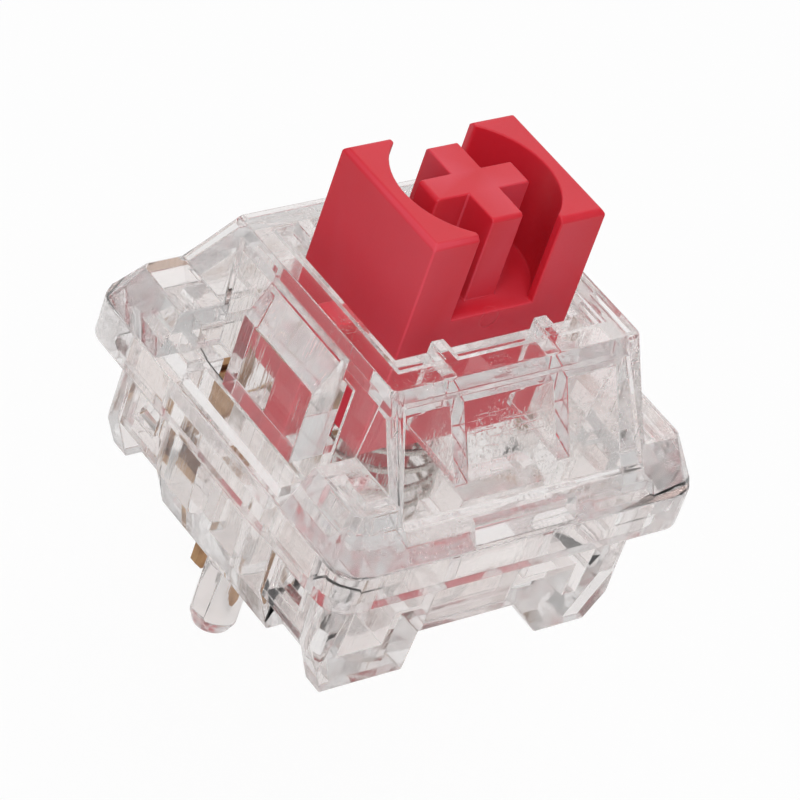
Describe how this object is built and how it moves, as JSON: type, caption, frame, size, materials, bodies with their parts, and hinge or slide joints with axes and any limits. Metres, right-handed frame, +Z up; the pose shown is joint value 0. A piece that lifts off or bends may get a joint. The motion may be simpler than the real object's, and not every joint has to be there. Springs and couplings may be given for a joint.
{
  "type": "mechanical keyboard switch",
  "caption": "Mechanical keyboard switch with a clear two-part housing, a red walled cross stem that slides on a spring, flat contact pins and a centre post.",
  "frame": {"origin": "on the axis of the centre post, in the plane of the circuit board's top face that the lower housing stands on", "axes": "+Z up along the stem's travel, +Y towards the contact pins, -Y towards the light window, +X to the right"},
  "size_m": [0.0156, 0.0156, 0.0193],
  "materials": {
    "clear_base": "clear moulded polycarbonate, polished, faint pink cast",
    "clear_cover": "clear moulded polycarbonate, polished, faint pink cast",
    "clear_lens": "clear moulded plastic, polished",
    "stem_red": "satin moulded acetal, pinkish red",
    "spring_wire": "bright drawn wire",
    "terminal_strip": "stamped bronze strip, dull",
    "blade_strip": "thin rolled bronze strip",
    "contact_alloy": "gold-coloured contact alloy"
  },
  "bodies": {
    "housing": {"bottom_housing": "clear_base", "top_housing": "clear_cover", "light_guide": "clear_lens", "fixed_terminal": "terminal_strip", "fixed_contact_point": "contact_alloy", "moving_terminal": "terminal_strip", "return_spring": "spring_wire"},
    "stem": {"stem": "stem_red"},
    "blade": {"contact_blade": "blade_strip", "moving_contact_point": "contact_alloy"}
  },
  "joints": [
    {"name": "stem_slide", "type": "slide", "parent": "housing", "child": "stem", "axis": [0, 0, -1], "range_m": [0, 0.004], "stiffness_N_per_m": 60, "springref_m": -0.006, "deforming": ["return_spring"]},
    {"name": "blade_swing", "type": "hinge", "parent": "housing", "child": "blade", "pos_m": [0, 0.0046, 0.0021], "axis": [1, 0, 0], "range_deg": [0, 5.85]}
  ],
  "couplings": [
    {"joint": "blade_swing", "follows": "stem_slide", "rad_per_m": 25.5}
  ]
}
